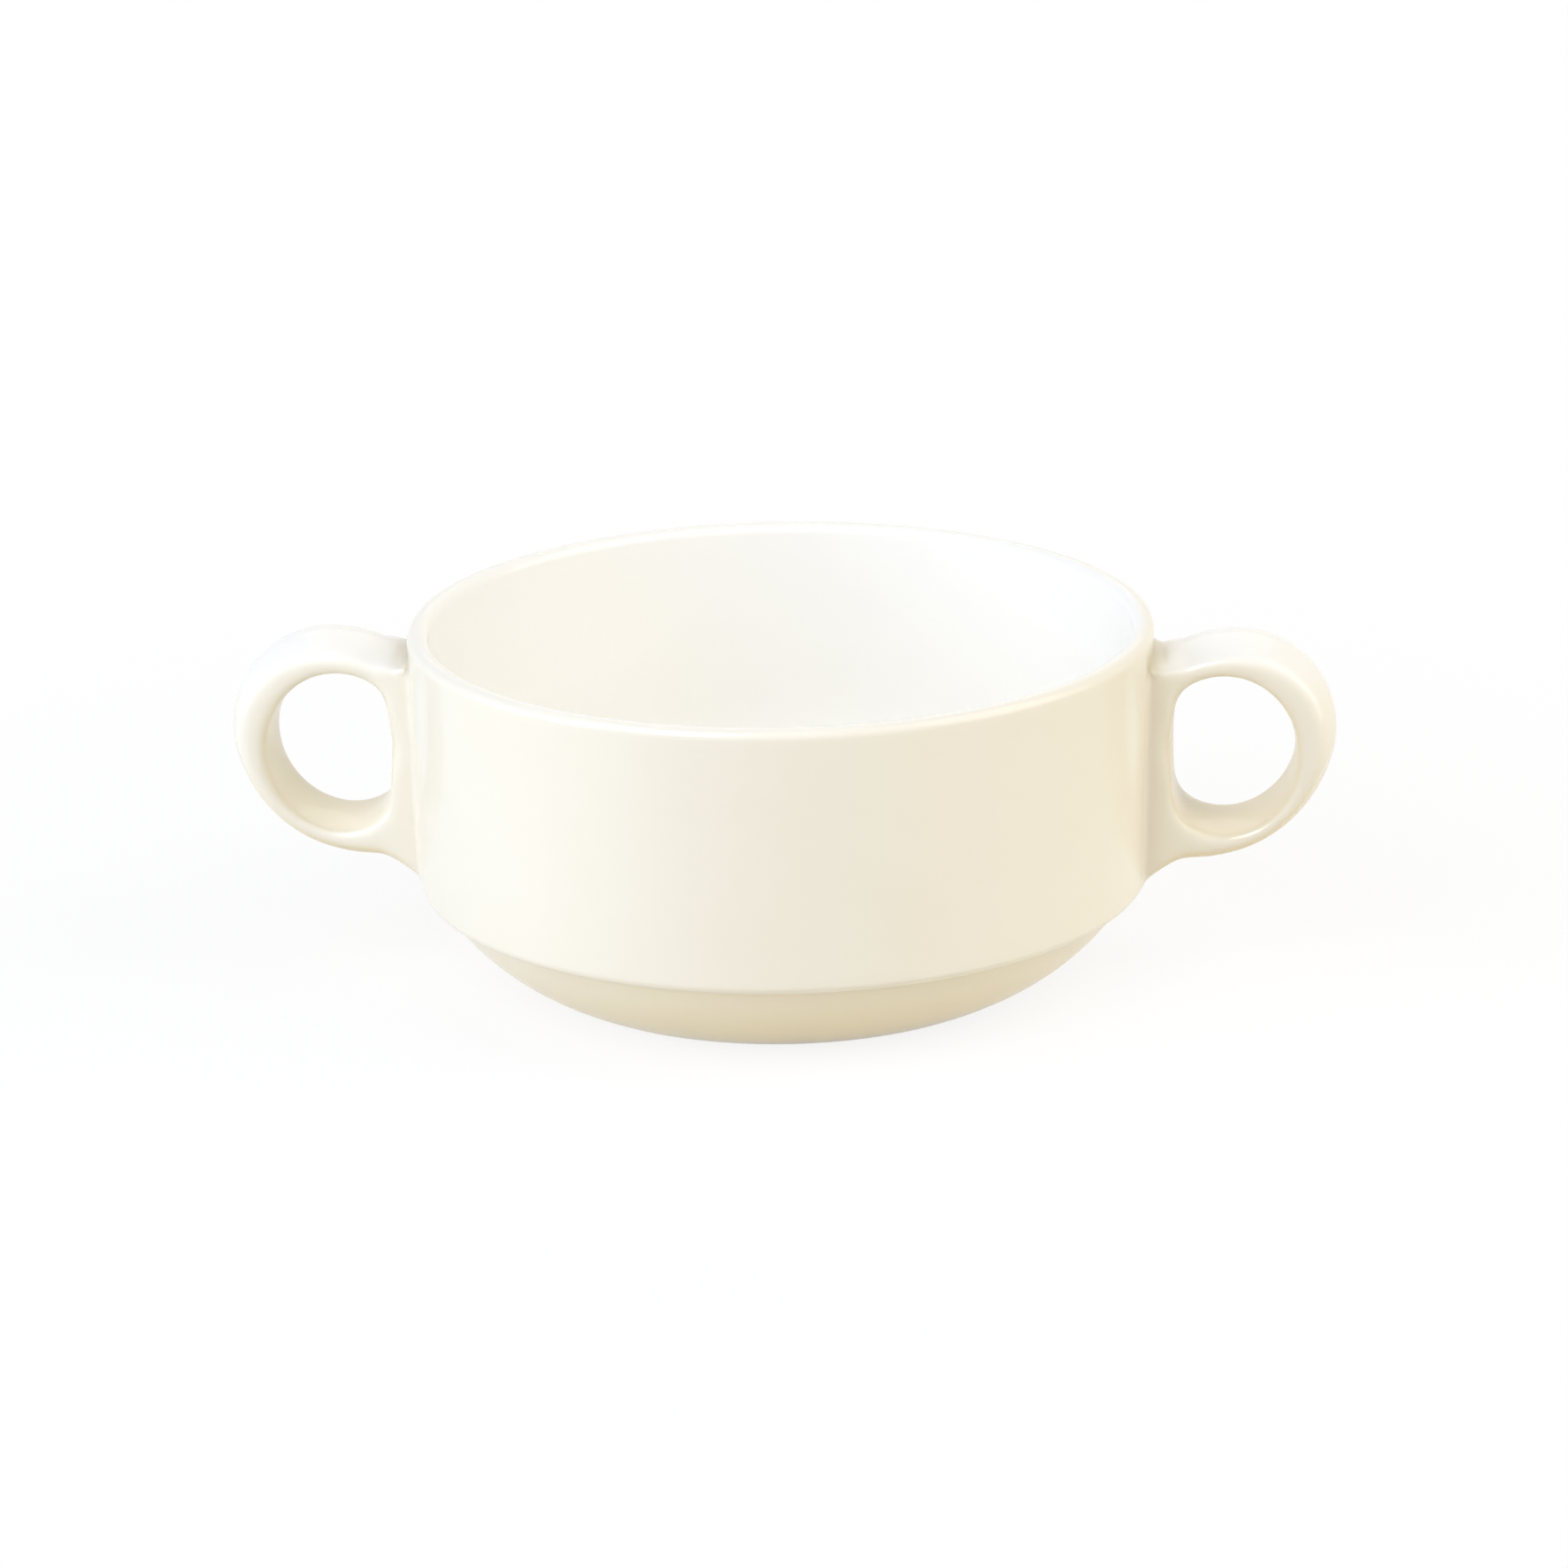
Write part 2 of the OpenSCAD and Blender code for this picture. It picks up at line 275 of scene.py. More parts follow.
def mesh_object(name, points, faces):
    data = bpy.data.meshes.new(name)
    data.from_pydata((np.asarray(points) * MM).tolist(), [], faces)
    data.update()
    obj = bpy.data.objects.new(name, data)
    bpy.context.scene.collection.objects.link(obj)
    return obj


def lathe_body():
    """Points and faces of the body alone, closed in the middle of the recess and of the floor."""
    rows = profile_rows()
    rows = rows[(rows > 0) & (rows < len(profile) - 1)]
    angles = lathe_angles()
    k, m = len(rows), len(angles)
    r, z = profile[rows, 0], profile[rows, 1]
    points = np.stack([
        np.outer(r, np.cos(angles)), np.outer(r, np.sin(angles)), np.outer(z, np.ones(m))
    ], -1)
    points = np.vstack([points.reshape(-1, 3), [0, 0, RECESS_H], [0, 0, FLOOR_Z]])
    faces = []
    for i in range(k - 1):
        for j in range(m):
            n = (j + 1) % m
            faces.append((i * m + j, i * m + n, (i + 1) * m + n, (i + 1) * m + j))
    for j in range(m):
        n = (j + 1) % m
        faces.append((k * m, n, j))
        faces.append((k * m + 1, (k - 1) * m + j, (k - 1) * m + n))
    return points, faces


# ---------------------------------------------------------------- handle
crest_c = np.array([RIM_R + REACH - CREST_R, CUP_H - HANDLE_DROP - CREST_R])
shoulder_c = crest_c + [0, CREST_R - SHOULDER_R]
belly_c = crest_c - (BELLY_R - CREST_R) * unit(-BELLY_START)
belly_z = belly_c[1] - BELLY_R

notch_x = wall_r(shoulder_c[1] + SHOULDER_R) + NOTCH_R * math.cos(NOTCH_STOP)
notch_c = np.array([
    notch_x, shoulder_c[1] + math.sqrt((SHOULDER_R + NOTCH_R) ** 2 - (shoulder_c[0] - notch_x) ** 2)
])
notch_dir = math.atan2(*(notch_c - shoulder_c)[::-1])
notch_end = notch_c - NOTCH_R * unit(NOTCH_STOP)
notch_tip = notch_end + BURY * np.array([-1, 1 / math.tan(NOTCH_STOP)])

flare_z = LEDGE_Z + JOINT_GAP
flare_end = np.array([float(body_r(flare_z)) - FLARE_SINK, flare_z])
flare_out = unit(-FLARE_STOP)
flare_run = flare_end - belly_c
flare_r = (flare_run @ flare_run - BELLY_R ** 2) / (2 * (BELLY_R - flare_run @ flare_out))
flare_c = flare_end + flare_r * flare_out
flare_dir = math.atan2(*(flare_c - belly_c)[::-1])

hole_left = wall_r(CUP_H / 2) + LEG_T
hole_right = RIM_R + REACH - STRAP_SIDE_T
hole_top = CUP_H - HANDLE_DROP - STRAP_TOP_T
hole_bottom = belly_z + STRAP_BOTTOM_T
hole_c = np.array([hole_left + HOLE_SHARE * (hole_right - hole_left), (hole_top + hole_bottom) / 2])
hole_a = hole_right - hole_c[0]
hole_b = (hole_top - hole_bottom) / 2


def hole_edge(a):
    """Point of the finger hole's edge in direction a: an oval, cut short by the leg."""
    oval = np.hypot(np.cos(a) / hole_a, np.sin(a) / hole_b)
    leg = np.maximum(-np.cos(a), 0) / (hole_c[0] - hole_left)
    reach = (oval ** HOLE_CORNER + leg ** HOLE_CORNER) ** (-1 / HOLE_CORNER)
    return hole_c + reach * np.array([math.cos(a), math.sin(a)])


def hole_dir(p):
    return math.atan2(p[1] - hole_c[1], p[0] - hole_c[0])


def handle_stations(step=JOINT_STEP):
    """Outline points of the handle with the direction of the hole's edge point that each faces."""
    free = np.vstack([
        arc(shoulder_c, SHOULDER_R, notch_dir, math.pi / 2, step)[:-1],
        arc(crest_c, CREST_R, math.pi / 2, -BELLY_START, step)[:-1],
        arc(belly_c, BELLY_R, -BELLY_START, flare_dir, step),
    ])
    start = hole_dir(free[-1])
    turn = hole_dir(free[0]) - TAU - start

    flare = arc(flare_c, flare_r, math.pi + flare_dir, math.pi - FLARE_STOP, step)[1:]
    leg_low = flare_z + BURY
    eased = (1 - np.cos(np.linspace(0, math.pi, LEG_STATIONS))) / 2
    leg_z = leg_low + (notch_tip[1] - leg_low) * eased
    leg = np.c_[body_r(leg_z) - BURY, leg_z]
    notch = arc(notch_c, NOTCH_R, math.pi + NOTCH_STOP, math.pi + notch_dir, step / 2)[:-1]
    joint = np.vstack([flare, leg, notch])

    # Of 21 parts of the turn, the flare takes 8, the leg 8 and the notch 3, with 1 between each two
    share = np.concatenate([
        np.linspace(0, 8, len(flare) + 1)[1:],
        9 + 8 * np.linspace(0, 1, LEG_STATIONS),
        np.linspace(18, 21, len(notch) + 1)[:-1],
    ]) / 21
    seen = np.array([hole_dir(p) for p in joint])
    seen = np.where(seen > 0, seen - TAU, seen)
    weight = (1 - share) / 2
    facing = weight * seen + (1 - weight) * (start + turn * share)
    return np.vstack([free, joint]), np.concatenate([[hole_dir(p) for p in free], facing])


def strap_section(t, free, count=SECTION_POINTS):
    """Closed section of the strap, t thick, as (distance from the hole's edge, place across). free
    is 1 where the strap stands clear of the wall, and falls to 0 as it reaches the wall."""
    half = STRAP_W / 2
    swell = CROWN * free
    outer_r = OUTER_EDGE_R * max(free, 0.2)
    room = min(0.9 * (t - swell - INNER_CROWN) / (outer_r + INNER_EDGE_R), 1)
    ro, ri = outer_r * room, INNER_EDGE_R * room
    si, so = INNER_CROWN + ri, t - swell - ro
    u = np.linspace(0, 1, 12)
    a = np.linspace(0, math.pi / 2, 9)[1:]
    side = np.linspace(si, so, 20)[1:]
    right = np.vstack([
        np.c_[INNER_CROWN * u ** 2, u * (half - ri)],
        np.c_[si - ri * np.cos(a), half - ri * (1 - np.sin(a))],
        np.c_[side, np.full(len(side), half)],
        np.c_[so + ro * np.sin(a), half - ro * (1 - np.cos(a))],
        np.c_[t - swell * u[::-1] ** 2, u[::-1] * (half - ro)][1:],
    ])
    loop = np.vstack([right, (right * [1, -1])[-2:0:-1], right[:1]])
    s = np.r_[0, np.cumsum(np.linalg.norm(np.diff(loop, axis=0), axis=1))]
    even = np.linspace(0, s[-1], count, endpoint=False)
    loop = np.c_[np.interp(even, s, loop[:, 0]), np.interp(even, s, loop[:, 1])]
    spread = EDGE_SOFT / (s[-1] / count)
    reach = int(3 * spread) + 1
    kernel = bell(np.arange(-reach, reach + 1) / spread)
    kernel /= kernel.sum()
    return smoothed(np.vstack([loop[-reach:], loop, loop[:reach]]), kernel)


def root_flare(d):
    """Widening of the handle at distance d from the wall's surface."""
    edge = ROOT_R * (1 - math.cos(ROOT_STOP))
    e = np.clip(d + edge, edge, ROOT_R)
    curve = ROOT_R - np.sqrt(ROOT_R ** 2 - (ROOT_R - e) ** 2)
    return np.where(d < 0, curve - d / math.tan(ROOT_STOP), np.where(d + edge >= ROOT_R, 0, curve))


def handle_points():
    """Rings of points of the right handle, one section for each station."""
    outline, facing = handle_stations()
    rings = []
    for out, a in zip(outline, facing):
        edge = hole_edge(a)
        t = np.linalg.norm(out - edge)
        ahead = (out - edge) / t
        free = min(max((out[0] - float(body_r(out[1])) + BURY) / FREE_REACH, 0), 1)
        p = strap_section(t, free)
        x = edge[0] + p[:, 0] * ahead[0]
        z = edge[1] + p[:, 0] * ahead[1]
        r = body_r(z)
        y = p[:, 1] * (1 + root_flare(x - r) / (STRAP_W / 2))
        bend = np.where(x <= r, 1, np.clip(1 - (x - r) / BEND_REACH, 0, 1) ** 2)
        rings.append(np.c_[x - bend * (r - np.sqrt(r * r - y * y)), y, z])
    return np.array(rings)


def ring_faces(n, m):
    """Faces of n rings of m points each, the last ring joined to the first."""
    faces = []
    for i in range(n):
        for j in range(m):
            i2, j2 = (i + 1) % n, (j + 1) % m
            faces.append((i * m + j, i2 * m + j, i2 * m + j2, i * m + j2))
    return faces


def signed_volume(points, faces):
    total = 0.0
    for f in faces:
        a = points[f[0]]
        for b, c in zip(f[1:-1], f[2:]):
            total += a @ np.cross(points[b], points[c])
    return total / 6


# ---------------------------------------------------------------- one glazed surface
def join_solids(base, others):
    """The union of the objects as one mesh. The objects themselves are removed."""
    for other in others:
        cut = base.modifiers.new("join", "BOOLEAN")
        cut.operation = "UNION"
        cut.solver = "MANIFOLD"
        cut.object = other
    graph = bpy.context.evaluated_depsgraph_get()
    joined = bpy.data.meshes.new_from_object(base.evaluated_get(graph))
    for obj in [base, *others]:
        bpy.data.objects.remove(obj)
    return joined


# So many points are measured at once, to keep the table of distances small
BATCH = 4000


def body_distance(p):
    """Distance of points from the body's outer surface near the handles, with its gradient."""
    # Only the part of the profile that a handle's points can be near
    outside = (profile[:, 0] > 40) & (profile_normal[:, 0] > -0.2)
    outside &= (profile[:, 1] > 6) & (profile[:, 1] < LIP_Z + 0.5)
    line_p, line_n = profile[outside][::2], profile_normal[outside][::2]
    r = np.hypot(p[:, 0], p[:, 1])
    q = np.c_[r, p[:, 2]]
    best = np.zeros(len(p), int)
    for start in range(0, len(p), BATCH):
        part = q[start:start + BATCH]
        gap = ((part[:, None, :] - line_p[None]) ** 2).sum(-1)
        best[start:start + BATCH] = gap.argmin(1)
    n = line_n[best]
    d = ((q - line_p[best]) * n).sum(1)
    return d, np.c_[n[:, 0] * p[:, 0] / r, n[:, 0] * p[:, 1] / r, n[:, 1]]


class HandleSurface:
    """Distance from a handle's own surface, from its fine mesh and that mesh's smooth normals."""

    def __init__(self, rings):
        n, m, _ = rings.shape
        along = np.roll(rings, -1, 0) - np.roll(rings, 1, 0)
        round_ = np.roll(rings, -1, 1) - np.roll(rings, 1, 1)
        normal = np.cross(along, round_)
        normal /= np.maximum(np.linalg.norm(normal, axis=2), 1e-9)[..., None]
        self.points = rings.reshape(-1, 3)
        self.normals = normal.reshape(-1, 3)
        self.faces = []
        for f in ring_faces(n, m):
            self.faces += [(f[0], f[1], f[2]), (f[0], f[2], f[3])]
        self.tree = BVHTree.FromPolygons(self.points.tolist(), self.faces)

    def distance(self, p):
        d = np.empty(len(p))
        g = np.empty((len(p), 3))
        for i, point in enumerate(p):
            spot, _, index, gap = self.tree.find_nearest(Vector(point))
            a, b, c = self.faces[index]
            corner = self.points[[a, b, c]]
            w = np.linalg.lstsq(
                np.vstack([corner.T, np.ones(3)]), np.append(np.array(spot), 1.0), rcond=None
            )[0]
            n = w @ self.normals[[a, b, c]]
            n /= max(np.linalg.norm(n), 1e-9)
            away = np.asarray(point) - np.array(spot)
            side = 1.0 if away @ n >= 0 else -1.0
            d[i] = side * gap
            # Very close to the surface the way to it is unsure, and its own normal is better
            g[i] = away * side / gap if gap > 0.06 else n
        return d, g


def soften_joint(points, surface, mirror):
    """Moves the points beside a joint on to a smooth blend of body and handle. Returns those points
    with their normals, and how strongly painted shade darkens each point round the joint."""
    p = points * [mirror, 1, 1]
    near = np.flatnonzero(
        (p[:, 0] > RIM_R * 0.86) & (np.abs(p[:, 1]) < STRAP_W)
        & (p[:, 2] > LEDGE_Z - 2) & (p[:, 2] < LIP_Z + 0.5)
    )
    r = np.hypot(p[near, 0], p[near, 1])
    near = near[r > RIM_R - LIP_T - 1.5]
    q = p[near]
    a, ga = body_distance(q)
    b, gb = surface.distance(q)
    # Painted shade: the glaze is darkened beside the joints, and most in the notch, where shade
    # falls
    on_handle = np.where(np.abs(b) < ON_SURFACE, np.clip(1 - a / CREASE_SHADE_REACH, 0, 1), 0)
    on_wall = np.where(np.abs(a) < ON_SURFACE, np.clip(1 - b / WALL_CREASE_SHADE_REACH, 0, 1), 0)
    crease_shade = np.where(b > a, on_wall, on_handle)
    notch = np.clip((q[:, 2] - notch_c[1] + 3) / 2, 0, 1) * np.clip(NOTCH_CREASE_SHADE_REACH - a, 0, 1)
    crease_shade *= JOINT_CREASE_SHADE + (1 - JOINT_CREASE_SHADE) * notch
    on_either = np.minimum(np.abs(a), np.abs(b)) < ON_SURFACE
    active = np.flatnonzero(on_either & (np.abs(a - b) < GLAZE_BLEND * 2))
    picked, q, a, ga, b, gb = near[active], q[active], a[active], ga[active], b[active], gb[active]
    # Two steps on to the blended surface, and then only its normals there
    for turn in range(3):
        share = np.clip(1 - np.abs(a - b) / GLAZE_BLEND, 0, None)
        d = np.minimum(a, b) - share ** 2 * GLAZE_BLEND / 4
        w = (share / 2)[:, None]
        g = np.where((a <= b)[:, None], (1 - w) * ga + w * gb, w * ga + (1 - w) * gb)
        size = np.maximum((g * g).sum(1), 0.05)
        if turn == 2:
            break
        q = q - (d / size)[:, None] * g
        a, ga = body_distance(q)
        b, gb = surface.distance(q)
    normals = g / np.linalg.norm(g, axis=1)[:, None]
    points[picked] = q * [mirror, 1, 1]
    return picked, normals * [mirror, 1, 1], near, crease_shade


def smooth(t):
    """Eases from 0 to 1 as t goes from 0 to 1."""
    t = np.clip(t, 0, 1)
    return t * t * (3 - 2 * t)


def save_painted_light(data, co, normal, crease_shade):
    """Keeps the painted light and shade of each point: painted shade beside the joints and under
    the ledge, painted light that makes the lip, the inside and the handles' tops pale, and painted
    shade that deepens the foot and the handles low down."""
    r, z = np.hypot(co[:, 0], co[:, 1]), co[:, 2]
    n_r = (normal[:, :2] * co[:, :2]).sum(1) / np.maximum(r, 1e-6)
    n_z = normal[:, 2]
    crease = np.hypot(r - foot_end_r, z - LEDGE_Z)
    # Painted shade in the crease under the ledge
    crease_shade = np.maximum(crease_shade, LEDGE_CREASE_SHADE * np.clip(1 - crease / LEDGE_CREASE_SHADE_REACH, 0, 1))
    within = (r < RIM_R - LIP_T + 0.3) & (z > FLOOR_Z - 1) & ((n_z > 0.02) | (n_r < -0.3))
    lip = (z > CUP_H - 1.5 * LIP_T) & (r > RIM_R - LIP_T) & (r < RIM_R + 0.1)
    # Painted light: whiter glaze inside the cup and on the lip
    lit_pale = np.where(within, 1.0, 0.0)
    lit_pale = np.where(lip, 1 - smooth((r - RIM_R + LIP_T) / LIP_T), lit_pale)
    on_strap = smooth((r - RIM_R) / 2)
    high_up = smooth((z - CUP_H / 2) / 10)
    # Painted light on the handles' upward faces high up, less where a joint's painted shade lies
    lit_pale = np.where(r > RIM_R, STRAP_LIT_PALE * smooth(n_z) * on_strap * high_up * (1 - crease_shade), lit_pale)
    # Painted shade: deeper, yellower glaze below the ledge, darkest at the bottom of the foot
    under = (z < LEDGE_Z + 0.2) & ~within
    shaded_deep = np.where(under, FOOT_SHADE + (1 - FOOT_SHADE) * smooth((LEDGE_Z - z) / LEDGE_Z), 0.0)
    out_x = np.abs(co[:, 0])
    hole = np.hypot((out_x - hole_c[0]) / (hole_a + 1.2), (z - hole_c[1]) / (hole_b + 1.2))
    # Painted shade on the handles' downward faces low down, and in the finger holes
    shaded_deep = np.maximum(shaded_deep, smooth(-n_z) * on_strap * (1 - high_up))
    within_hole = smooth((0.95 - np.abs(normal[:, 1])) / 0.6) * smooth((1.15 - hole) / 0.15)
    shaded_deep = np.maximum(shaded_deep, HOLE_SHADE * within_hole * on_strap)
    for name, value in (("glaze_crease_shade", crease_shade), ("glaze_lit_pale", lit_pale), ("glaze_shaded_deep", shaded_deep)):
        layer = data.attributes.new(name, "FLOAT", "POINT")
        layer.data.foreach_set("value", value)


def glazed_cup():
    """Body and handles as one closed surface, with smooth normals beside the joints."""
    points, faces = lathe_body()
    # A sample of the faces shows which way they all point
    if signed_volume(points, faces[::37]) < 0:
        faces = [f[::-1] for f in faces]
    body = mesh_object("body", points, faces)
    rings = handle_points()
    n, m, _ = rings.shape
    loops = ring_faces(n, m)
    if signed_volume(rings.reshape(-1, 3), loops) < 0:
        rings = rings[:, ::-1]
    surface = HandleSurface(rings)
    turned = rings * [-1, -1, 1]
    right = mesh_object("right", rings.reshape(-1, 3), loops)
    left = mesh_object("left", turned.reshape(-1, 3), loops)
    data = join_solids(body, [right, left])
    data.name = "cup_glazed"
    count = len(data.vertices)
    co = np.empty(count * 3)
    data.vertices.foreach_get("co", co)
    co = co.reshape(-1, 3) / MM
    # Painted shade round each joint
    crease_shade = np.zeros(count)
    fixed = []
    for mirror in (1, -1):
        picked, normals, near, joint_shade = soften_joint(co, surface, mirror)
        crease_shade[near] = joint_shade
        fixed.append((picked, normals))
    data.vertices.foreach_set("co", (co * MM).ravel())
    data.update()
    data.shade_smooth()
    normal = np.empty(count * 3)
    data.vertex_normals.foreach_get("vector", normal)
    normal = normal.reshape(-1, 3)
    for picked, normals in fixed:
        normal[picked] = normals
    data.normals_split_custom_set_from_vertices(normal.tolist())
    save_painted_light(data, co, normal, crease_shade)
    obj = bpy.data.objects.new("cup_glazed", data)
    bpy.context.scene.collection.objects.link(obj)
    return obj


cup = glazed_cup()


# ---------------------------------------------------------------- materials
def srgb(r, g, b):
    def lin(v):
        v /= 255
        return v / 12.92 if v <= 0.04045 else ((v + 0.055) / 1.055) ** 2.4
    return (lin(r), lin(g), lin(b), 1.0)


def node(tree, kind, **values):
    made = tree.nodes.new(kind)
    for key, value in values.items():
        setattr(made, key, value)
    return made


def noise(tree, coords, scale, detail=2.0, rough=0.5):
    made = node(tree, "ShaderNodeTexNoise")
    made.inputs["Scale"].default_value = scale
    made.inputs["Detail"].default_value = detail
    made.inputs["Roughness"].default_value = rough
    tree.links.new(coords, made.inputs["Vector"])
    return made.outputs["Fac"]


def ramp(tree, value, low_in, high_in, low_out, high_out):
    made = node(tree, "ShaderNodeMapRange")
    made.inputs["From Min"].default_value = low_in
    made.inputs["From Max"].default_value = high_in
    made.inputs["To Min"].default_value = low_out
    made.inputs["To Max"].default_value = high_out
    tree.links.new(value, made.inputs["Value"])
    return made.outputs["Result"]


def bump(tree, height, strength, distance):
    made = node(tree, "ShaderNodeBump")
    made.inputs["Strength"].default_value = strength
    made.inputs["Distance"].default_value = distance
    tree.links.new(height, made.inputs["Height"])
    return made


def mix_colour(tree, share, a, b):
    made = node(tree, "ShaderNodeMix", data_type="RGBA")
    tree.links.new(share, made.inputs[0])
    for value, socket in ((a, made.inputs[6]), (b, made.inputs[7])):
        if isinstance(value, tuple):
            socket.default_value = value
        else:
            tree.links.new(value, socket)
    return made.outputs[2]


IVORY = srgb(241, 235, 219)
IVORY_THIN = srgb(243, 238, 224)
# The palest tone is painted light
IVORY_LIT_PALE = srgb(250, 248, 242)
# This deeper tone is painted shade
IVORY_SHADED_DEEP = srgb(242, 229, 193)
# The darkest tone is painted shade in the joints, the notch and the crease under the ledge
IVORY_CREASE_SHADE = srgb(202, 190, 160)
BISCUIT = srgb(238, 232, 218)
BISCUIT_DARK = srgb(226, 218, 200)
# Nearly all values of a noise lie between these
NOISE_SPAN = (0.3, 0.7)


def glaze_material():
    mat = bpy.data.materials.new("ivory_glaze")
    mat.use_nodes = True
    tree = mat.node_tree
    shader = tree.nodes["Principled BSDF"]
    coords = node(tree, "ShaderNodeTexCoord").outputs["Object"]
    broad = noise(tree, coords, 26.0, 3.0)
    # Painted light and shade, kept on the mesh's points
    painted_tones = {
        name: node(tree, "ShaderNodeAttribute", attribute_name="glaze_" + name).outputs["Fac"]
        for name in ("crease_shade", "lit_pale", "shaded_deep")
    }
    base = mix_colour(tree, ramp(tree, broad, *NOISE_SPAN, 0.0, 1.0), IVORY, IVORY_THIN)
    # Painted shade on the foot, low on the handles and in the finger holes
    base = mix_colour(tree, painted_tones["shaded_deep"], base, IVORY_SHADED_DEEP)
    # Painted light: paler on the lip, the inside and the handles' tops
    base = mix_colour(tree, painted_tones["lit_pale"], base, IVORY_LIT_PALE)
    # Painted shade in the joints, the notch and under the ledge
    base = mix_colour(tree, ramp(tree, painted_tones["crease_shade"], 0.0, 1.0, 0.0, 0.9), base, IVORY_CREASE_SHADE)
    tree.links.new(base, shader.inputs["Base Color"])
    tree.links.new(ramp(tree, broad, *NOISE_SPAN, 0.4, 0.48), shader.inputs["Roughness"])
    shader.inputs["IOR"].default_value = 1.5
    shader.inputs["Specular IOR Level"].default_value = 0.15
    shader.inputs["Coat Weight"].default_value = 0.5
    shader.inputs["Coat Roughness"].default_value = 0.06
    ripple = bump(tree, noise(tree, coords, 70.0, 1.0), 0.35, 0.0002)
    pores = bump(tree, noise(tree, coords, 420.0, 2.0), 0.12, 0.00002)
    tree.links.new(ripple.outputs["Normal"], pores.inputs["Normal"])
    tree.links.new(pores.outputs["Normal"], shader.inputs["Normal"])
    return mat


def biscuit_material():
    mat = bpy.data.materials.new("bare_base_ring")
    mat.use_nodes = True
    tree = mat.node_tree
    shader = tree.nodes["Principled BSDF"]
    coords = node(tree, "ShaderNodeTexCoord").outputs["Object"]
    grain = noise(tree, coords, 900.0, 4.0, 0.65)
    tree.links.new(
        mix_colour(tree, ramp(tree, grain, *NOISE_SPAN, 0.0, 1.0), BISCUIT, BISCUIT_DARK),
        shader.inputs["Base Color"],
    )
    tree.links.new(ramp(tree, grain, *NOISE_SPAN, 0.62, 0.8), shader.inputs["Roughness"])
    tree.links.new(bump(tree, grain, 0.4, 0.00006).outputs["Normal"], shader.inputs["Normal"])
    return mat


def dress_cup():
    """Glaze everywhere but on the base ring's flat, which stands on the floor."""
    data = cup.data
    data.materials.clear()
    data.materials.append(glaze_material())
    data.materials.append(biscuit_material())
    ring_in = (base_edge_c[0] - RING_W - 0.4) * MM
    ring_out = (base_edge_c[0] + 0.3) * MM
    for face in data.polygons:
        c = face.center
        bare = c.z < 0.12 * MM and ring_in < math.hypot(c.x, c.y) < ring_out
        face.material_index = 1 if bare else 0


dress_cup()
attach(cup, "root")
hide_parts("cup")


# ---------------------------------------------------------------- floor, world, lights
FLOOR_HALF = 6.0
# What the floor and the room throw back on to the cup, which the camera doesn't see
FLOOR_COLOUR = (0.80, 0.75, 0.64, 1)
ROOM_COLOUR = (1.0, 0.94, 0.80, 1)
ROOM_LIGHT = 0.12
# Near the cup this share of the floor's look is its real shading. It fades out from the first of
# these distances, in metres, to the second.
SHADOW_SHARE = 0.15
WHITE_FROM = 0.11
WHITE_TO = 0.22


def seen_directly(tree):
    """1 for rays from the camera, and for those that a reflection or clear glass sends on."""
    path = node(tree, "ShaderNodeLightPath")
    share = path.outputs["Is Camera Ray"]
    for name in ("Is Glossy Ray", "Is Transmission Ray"):
        either = node(tree, "ShaderNodeMath", operation="MAXIMUM")
        tree.links.new(share, either.inputs[0])
        tree.links.new(path.outputs[name], either.inputs[1])
        share = either.outputs[0]
    return share


def white_floor():
    data = bpy.data.meshes.new("floor")
    h = FLOOR_HALF
    data.from_pydata([(-h, -h, 0), (h, -h, 0), (h, h, 0), (-h, h, 0)], [], [(0, 1, 2, 3)])
    floor = bpy.data.objects.new("floor", data)
    bpy.context.scene.collection.objects.link(floor)
    mat = bpy.data.materials.new("floor_white")
    mat.use_nodes = True
    tree = mat.node_tree
    tree.nodes.clear()
    out = node(tree, "ShaderNodeOutputMaterial")
    matt = node(tree, "ShaderNodeBsdfDiffuse")
    matt.inputs["Color"].default_value = FLOOR_COLOUR
    glow = node(tree, "ShaderNodeEmission")
    glow.inputs["Color"].default_value = (1, 1, 1, 1)
    glow.inputs["Strength"].default_value = 1.0
    lit = node(tree, "ShaderNodeBsdfDiffuse")
    lit.inputs["Color"].default_value = (1.0, 1.0, 1.0, 1)
    coords = node(tree, "ShaderNodeTexCoord").outputs["Object"]
    length = node(tree, "ShaderNodeVectorMath", operation="LENGTH")
    tree.links.new(coords, length.inputs[0])
    fade = ramp(tree, length.outputs["Value"], WHITE_FROM, WHITE_TO, 1 - SHADOW_SHARE, 1.0)
    seen = node(tree, "ShaderNodeMixShader")
    tree.links.new(fade, seen.inputs[0])
    tree.links.new(lit.outputs[0], seen.inputs[1])
    tree.links.new(glow.outputs[0], seen.inputs[2])
    final = node(tree, "ShaderNodeMixShader")
    tree.links.new(seen_directly(tree), final.inputs[0])
    tree.links.new(matt.outputs[0], final.inputs[1])
    tree.links.new(seen.outputs[0], final.inputs[2])
    tree.links.new(final.outputs[0], out.inputs["Surface"])
    data.materials.append(mat)


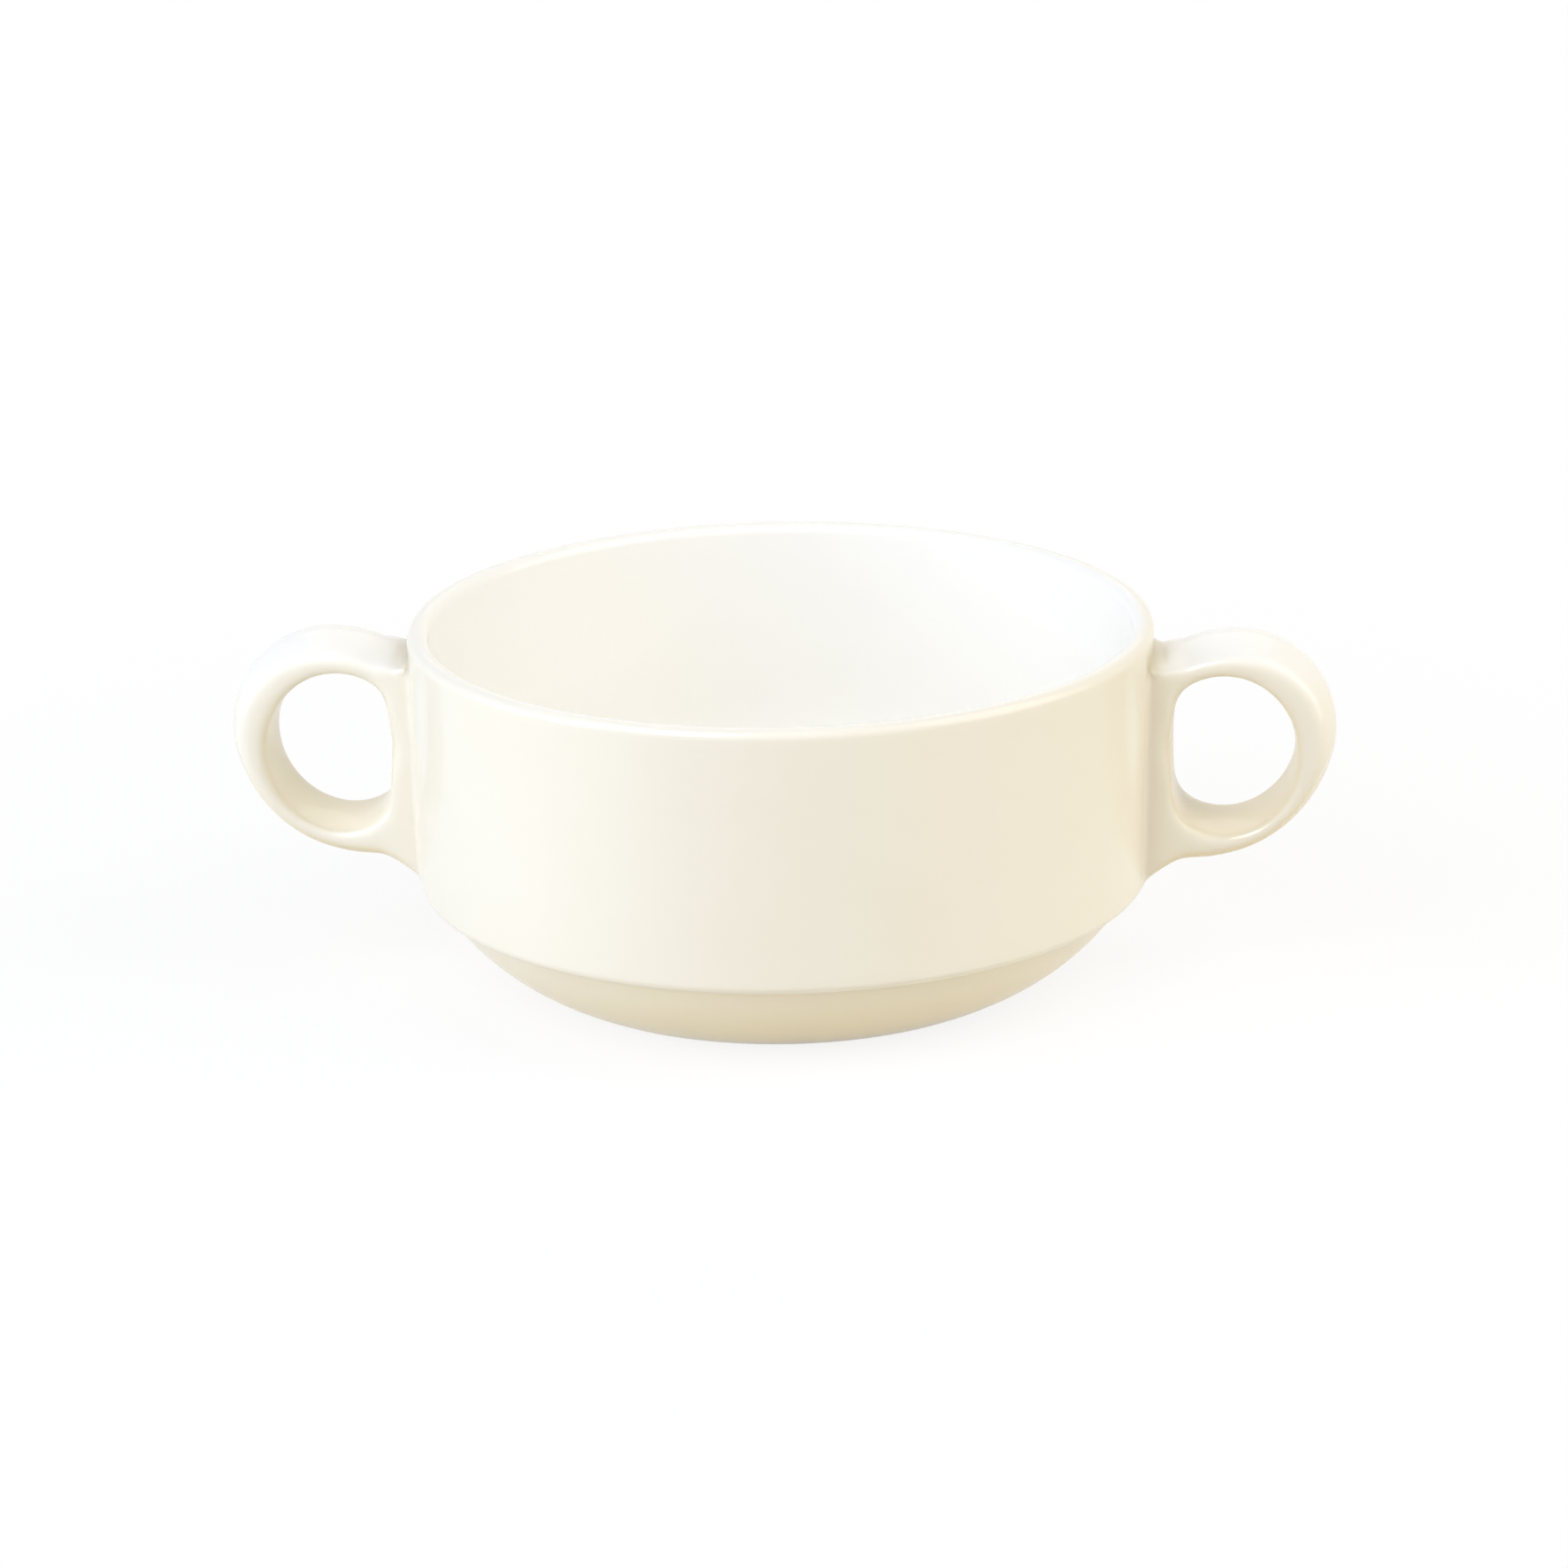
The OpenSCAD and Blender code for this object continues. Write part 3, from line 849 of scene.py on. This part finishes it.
def studio_world():
    world = bpy.data.worlds.new("studio")
    bpy.context.scene.world = world
    world.use_nodes = True
    tree = world.node_tree
    tree.nodes.clear()
    out = node(tree, "ShaderNodeOutputWorld")
    plain = node(tree, "ShaderNodeBackground")
    plain.inputs["Color"].default_value = ROOM_COLOUR
    plain.inputs["Strength"].default_value = ROOM_LIGHT
    white = node(tree, "ShaderNodeBackground")
    white.inputs["Color"].default_value = (1, 1, 1, 1)
    white.inputs["Strength"].default_value = 1.0
    pick = node(tree, "ShaderNodeMixShader")
    tree.links.new(seen_directly(tree), pick.inputs[0])
    tree.links.new(plain.outputs[0], pick.inputs[1])
    tree.links.new(white.outputs[0], pick.inputs[2])
    tree.links.new(pick.outputs[0], out.inputs["Surface"])


def direction(azimuth, elevation):
    """Azimuth 0 is the side that the camera stands on, and 90 is +X."""
    a, e = math.radians(azimuth), math.radians(elevation)
    return Vector((math.sin(a) * math.cos(e), -math.cos(a) * math.cos(e), math.sin(e)))


def soft_box(name, azimuth, elevation, size, power, colour):
    """A soft box aimed at the cup; size is its width and height."""
    light = bpy.data.lights.new(name, "AREA")
    light.shape = "RECTANGLE"
    light.size, light.size_y = size
    light.energy = power
    light.color = colour
    lamp = bpy.data.objects.new(name, light)
    bpy.context.scene.collection.objects.link(lamp)
    back = direction(azimuth, elevation)
    lamp.location = Vector((0, 0, CUP_H * MM / 2)) + back * LIGHT_DISTANCE
    lamp.rotation_mode = "QUATERNION"
    lamp.rotation_quaternion = (-back).to_track_quat("-Z", "Y")
    lamp.visible_camera = False
    return lamp


LIGHT_DISTANCE = 1.0
WHITE = (1, 1, 1)
COOL = (0.775, 0.84, 1.0)
COOLER = (0.72, 0.82, 1.0)
WARM = (1.0, 0.975, 0.92)
WARMER = (1.0, 0.94, 0.8)
WARM_WHITE = (1.0, 0.98, 0.945)

white_floor()
studio_world()
soft_box("key_left", -42, 42, (0.8, 0.8), 4.6, COOL)
soft_box("low_left", -76, 13, (0.8, 0.5), 4.7, COOLER)
soft_box("low_front", -28, 13, (0.8, 0.5), 1.5, COOL)
soft_box("front", 0, 40, (0.8, 0.8), 1.4, WARMER)
soft_box("side_right", 78, 42, (0.8, 0.8), 4.8, WARM_WHITE)
soft_box("low_right", 86, 14, (0.8, 0.5), 2.1, WARM)
soft_box("top", 0, 82, (0.8, 0.8), 0.6, COOL)
soft_box("back", 180, 42, (0.8, 0.8), 1.2, WARM)
# The last two: one lights the back without a glare, the other is only a glint on the handles
soft_box("low_back", 180, 12, (0.8, 0.36), 3.0, WARM).visible_glossy = False
soft_box("glint", -36, 45, (0.5, 0.5), 14.0, WHITE).visible_diffuse = False

# ---------------------------------------------------------------- camera
# Fitted to the photograph: angles in degrees, the distance from the rim's middle in metres, and the
# pixel at which that middle is seen
CAMERA_AZIMUTH = 4.3
CAMERA_ELEVATION = 16.42
CAMERA_ROLL = -1.06
CAMERA_DISTANCE = 0.84
FOCAL_PIXELS = 6745.6
IMAGE = 1772
SENSOR = 36.0
RIM_SEEN_AT = (881.6, 699.8)


def photo_camera():
    data = bpy.data.cameras.new("photo")
    camera = bpy.data.objects.new("photo", data)
    bpy.context.scene.collection.objects.link(camera)
    bpy.context.scene.camera = camera
    azimuth, roll = math.radians(CAMERA_AZIMUTH), math.radians(CAMERA_ROLL)
    back = direction(CAMERA_AZIMUTH, CAMERA_ELEVATION)
    right = Vector((math.cos(azimuth), math.sin(azimuth), 0))
    up = back.cross(right)
    cosine, sine = math.cos(roll), math.sin(roll)
    right, up = cosine * right + sine * up, cosine * up - sine * right
    place = Vector((0, 0, CUP_H * MM)) + back * CAMERA_DISTANCE
    # Turn the camera so that the middle of the rim is seen at its pixel
    x, y = (IMAGE / 2 - RIM_SEEN_AT[0]) / FOCAL_PIXELS, (RIM_SEEN_AT[1] - IMAGE / 2) / FOCAL_PIXELS
    back = (back - right * x - up * y).normalized()
    right = (right - back * right.dot(back)).normalized()
    up = back.cross(right)
    pose = Matrix((right, up, back)).transposed().to_4x4()
    pose.translation = place
    camera.matrix_world = pose
    data.sensor_width = SENSOR
    data.sensor_fit = "AUTO"
    data.lens = FOCAL_PIXELS * SENSOR / IMAGE
    data.clip_start, data.clip_end = 0.05, 30


photo_camera()

view = bpy.context.scene.view_settings
view.view_transform = "Standard"
